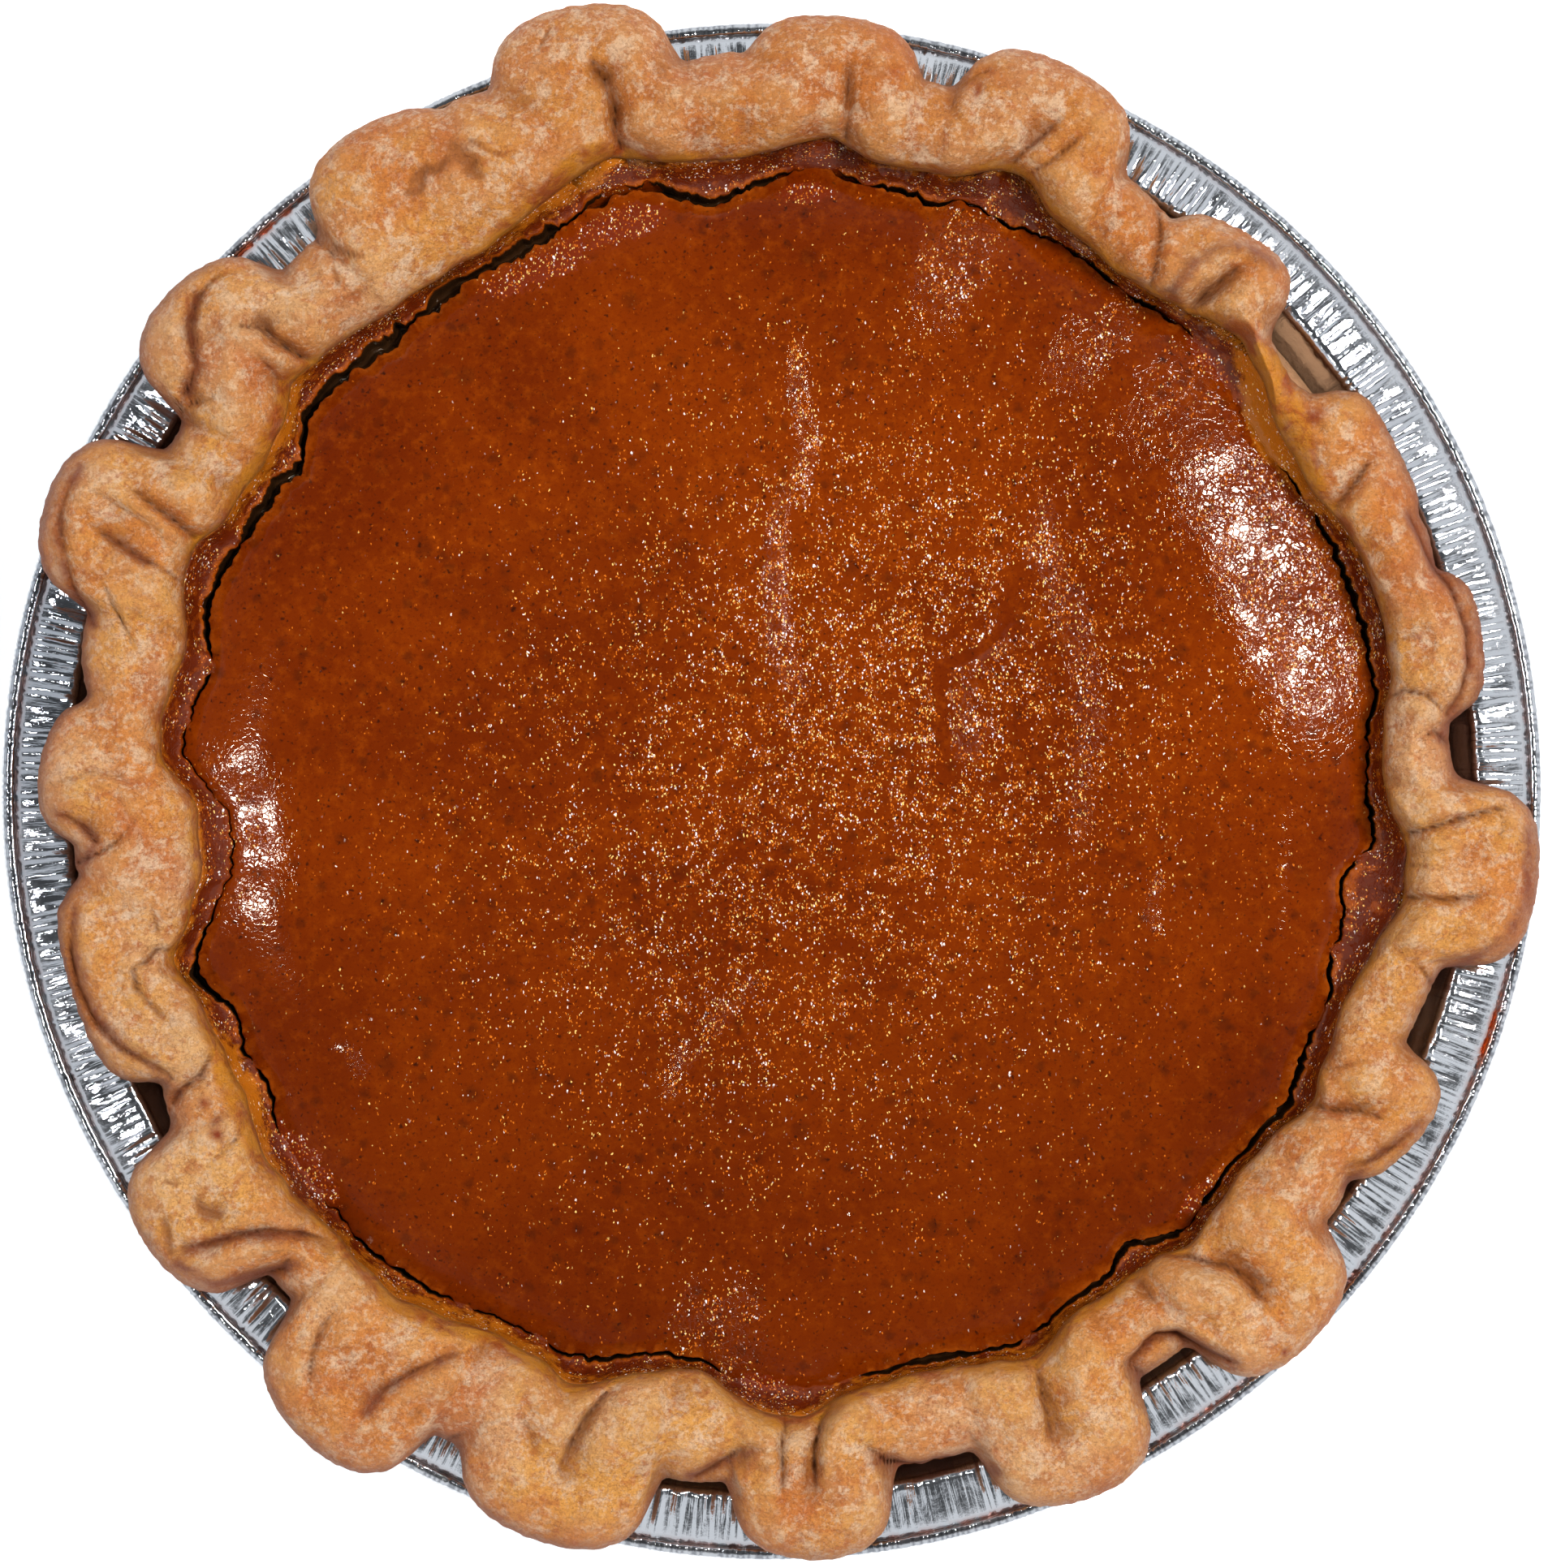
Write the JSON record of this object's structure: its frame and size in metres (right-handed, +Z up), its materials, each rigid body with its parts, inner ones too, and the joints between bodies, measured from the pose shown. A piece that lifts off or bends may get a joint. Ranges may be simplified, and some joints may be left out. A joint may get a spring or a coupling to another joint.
{
  "type": "pumpkin pie",
  "caption": "Whole round pumpkin pie with a hand-fluted pastry edge, in a flared foil tin with a rolled bead.",
  "frame": {"origin": "centre of the flat underside of the foil tin, on its turning axis", "axes": "+Z up along the tin's axis; +Y points at the flute that stands beside the largest one, and +X to its right seen from above"},
  "size_m": [0.2438, 0.2452, 0.0452],
  "materials": {
    "foil": "bright crinkled foil",
    "pastry": "baked golden-brown pastry",
    "custard": "baked pumpkin custard with a satin skin"
  },
  "bodies": {
    "root": {"foil_tin": "foil", "crust": "pastry", "filling": "custard"}
  },
  "joints": []
}
